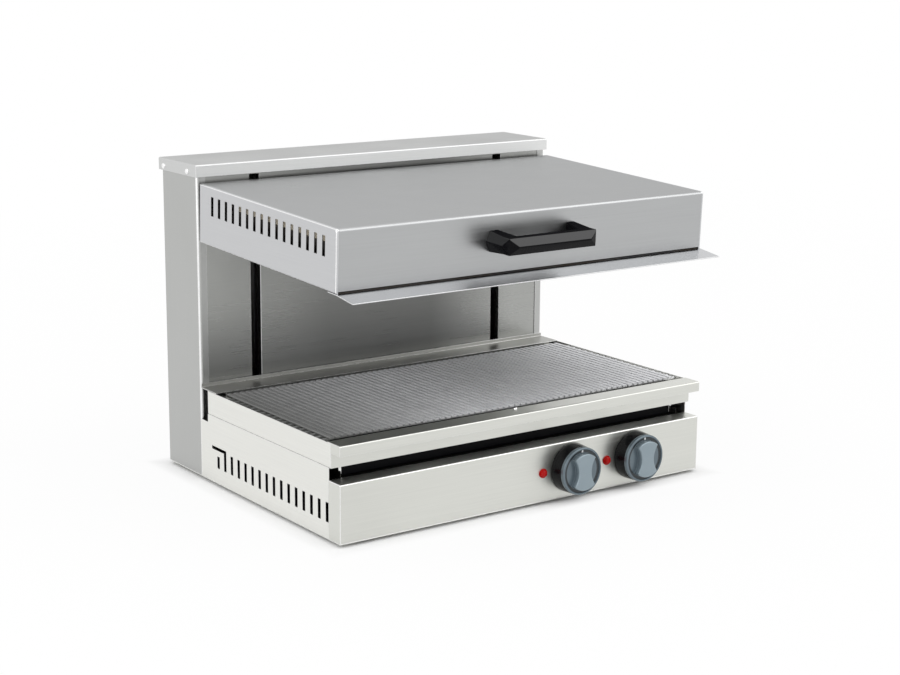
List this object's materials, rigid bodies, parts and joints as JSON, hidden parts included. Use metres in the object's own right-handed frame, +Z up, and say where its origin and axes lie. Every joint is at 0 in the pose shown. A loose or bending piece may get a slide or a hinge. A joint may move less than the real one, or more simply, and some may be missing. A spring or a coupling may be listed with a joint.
{
  "type": "salamander grill",
  "caption": "Countertop salamander grill: a heated hood slides on a rear column, balanced by a counterweight, over a wire grid and drip tray in a stainless base with dials.",
  "frame": {"origin": "on the bench, under the middle of the grill's width and overall depth", "axes": "+Z up, +Y from the front with the dials to the column at the rear, +X to the right as seen from the front"},
  "size_m": [0.6066, 0.5108, 0.441],
  "materials": {
    "stainless": "brushed stainless sheet",
    "plated_steel": "zinc-plated steel",
    "bright_steel": "polished steel",
    "chromed_wire": "chromed wire",
    "cable_steel": "stranded steel cable",
    "black_enamel": "black enamelled sheet",
    "reflector_steel": "heat-tinted reflector sheet",
    "element_sheath": "oxidised element tube",
    "foot_rubber": "black rubber",
    "black_plastic": "glossy black moulding",
    "knob_grey": "blue-grey moulding",
    "red_lens": "red lens",
    "moulded_plastic": "black moulding",
    "nylon": "natural nylon",
    "bronze": "sintered bronze",
    "carriage_alloy": "cast aluminium",
    "weight_iron": "cast iron",
    "ceramic_wool": "ceramic wool blanket"
  },
  "bodies": {
    "base": {"base_bottom": "stainless", "rubber_feet": "foot_rubber", "front_panel": "stainless", "base_left_side": "stainless", "base_right_side": "stainless", "deck": "stainless", "frame_front_rail": "stainless", "frame_side_rails": "stainless", "rear_shelf": "stainless", "tray_runners": "stainless", "column_left_side": "stainless", "column_right_side": "stainless", "column_front": "stainless", "column_back": "stainless", "top_cap": "stainless", "cap_rivets": "bright_steel", "top_beam": "plated_steel", "guide_rods": "bright_steel", "rod_blocks": "plated_steel", "counterweight_guides": "plated_steel", "pulley_brackets": "plated_steel", "pulley_axles": "bright_steel", "lift_cables": "cable_steel", "heat_switches": "moulded_plastic", "pilot_lamps": "red_lens", "terminal_block": "moulded_plastic", "cable_gland": "moulded_plastic"},
    "hood": {"hood_carriages": "carriage_alloy", "guide_bushes": "bronze", "carriage_bar": "plated_steel", "cable_anchors": "carriage_alloy", "hood_arms": "plated_steel", "arm_brackets": "plated_steel", "hood_screws": "bright_steel", "hood_cover": "stainless", "hood_left_side": "stainless", "hood_right_side": "stainless", "hood_rear": "stainless", "hood_bottom_cover": "stainless", "hood_lip": "stainless", "reflector": "reflector_steel", "insulation": "ceramic_wool", "left_element": "element_sheath", "right_element": "element_sheath", "element_bushes": "bronze", "element_rest_bars": "plated_steel", "hood_handle": "black_plastic"},
    "counterweight": {"counterweight": "weight_iron", "counterweight_shoes": "nylon"},
    "left_pulley": {"left_pulley": "nylon"},
    "right_pulley": {"right_pulley": "nylon"},
    "left_knob": {"left_switch_shaft": "bright_steel", "left_knob_skirt": "black_plastic", "left_knob_face": "knob_grey"},
    "right_knob": {"right_switch_shaft": "bright_steel", "right_knob_skirt": "black_plastic", "right_knob_face": "knob_grey"},
    "drip_tray": {"drip_tray": "black_enamel"},
    "wire_grid": {"wire_grid": "chromed_wire"}
  },
  "joints": [
    {"name": "hood_slide", "type": "slide", "parent": "base", "child": "hood", "axis": [0, 0, 1], "range_m": [-0.15, 0.01], "deforming": ["lift_cables"]},
    {"name": "counterweight_slide", "type": "slide", "parent": "base", "child": "counterweight", "axis": [0, 0, 1], "range_m": [-0.01, 0.15]},
    {"name": "left_pulley_spin", "type": "hinge", "parent": "base", "child": "left_pulley", "pos_m": [-0.12, 0.20386, 0.4078], "axis": [1, 0, 0], "range_deg": [-30, 412]},
    {"name": "right_pulley_spin", "type": "hinge", "parent": "base", "child": "right_pulley", "pos_m": [0.12, 0.20386, 0.4078], "axis": [1, 0, 0], "range_deg": [-30, 412]},
    {"name": "left_knob_turn", "type": "hinge", "parent": "base", "child": "left_knob", "pos_m": [0.068, -0.21164, 0.045], "axis": [0, 1, 0], "range_deg": [0, 270]},
    {"name": "right_knob_turn", "type": "hinge", "parent": "base", "child": "right_knob", "pos_m": [0.179, -0.21164, 0.045], "axis": [0, 1, 0], "range_deg": [0, 270]},
    {"name": "drip_tray_slide", "type": "slide", "parent": "base", "child": "drip_tray", "axis": [0, -1, 0], "range_m": [0, 0.3]},
    {"name": "wire_grid_lift", "type": "slide", "parent": "base", "child": "wire_grid", "axis": [0, 0, 1], "range_m": [0, 0.02]}
  ],
  "couplings": [
    {"joint": "counterweight_slide", "follows": "hood_slide", "ratio": -1},
    {"joint": "left_pulley_spin", "follows": "hood_slide", "rad_per_m": -47.619},
    {"joint": "right_pulley_spin", "follows": "hood_slide", "rad_per_m": -47.619}
  ]
}
